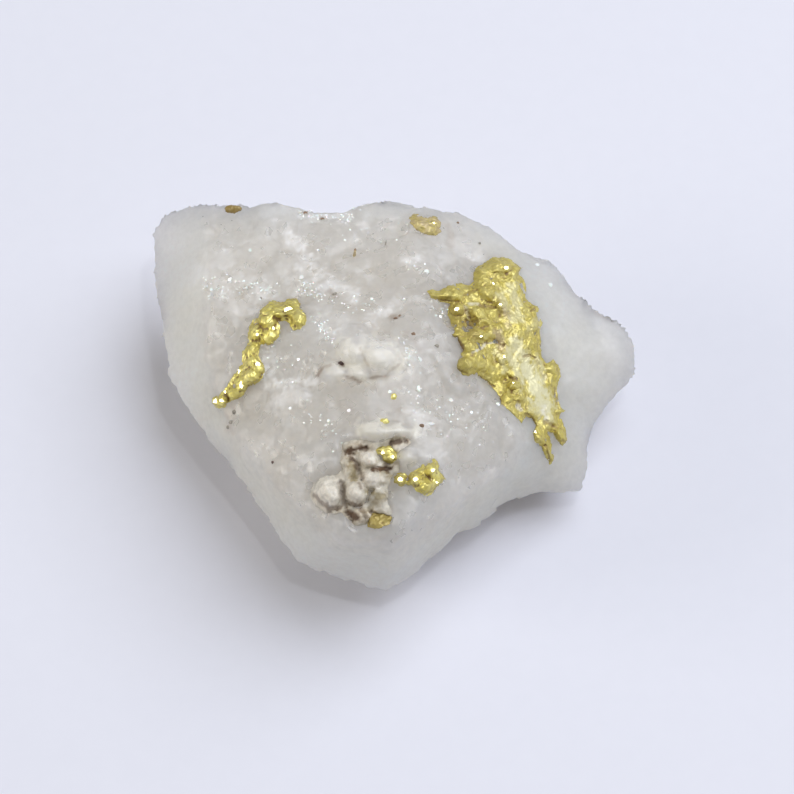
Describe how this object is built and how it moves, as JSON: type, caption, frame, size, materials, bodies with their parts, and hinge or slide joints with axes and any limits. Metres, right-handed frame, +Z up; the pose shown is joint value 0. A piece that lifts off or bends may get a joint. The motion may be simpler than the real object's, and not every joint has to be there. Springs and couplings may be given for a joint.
{
  "type": "gold in quartz specimen",
  "caption": "Broken chunk of milky quartz with native gold sheets and grains grown through its upper side and a rusty grain-lined hollow, resting on a flat fracture.",
  "frame": {"origin": "on the table, under the middle of the chunk's bounding box", "axes": "+X along the chunk's longest extent, to the viewer's right; +Y away from the viewer; +Z up from the flat fracture it rests on"},
  "size_m": [0.0266, 0.0224, 0.0122],
  "materials": {
    "milky_quartz": "broken, vitreous to sugary",
    "iron_stained_quartz": "dull, grainy",
    "native_gold": "natural metallic, crumpled"
  },
  "bodies": {
    "root": {"quartz": "milky_quartz", "hollow_crust": "iron_stained_quartz", "gold_leaf": "native_gold", "gold_vein": "native_gold", "gold_back_patch": "native_gold", "gold_nugget": "native_gold", "gold_bead": "native_gold", "gold_low_flake": "native_gold", "gold_edge_flake": "native_gold"}
  },
  "joints": []
}
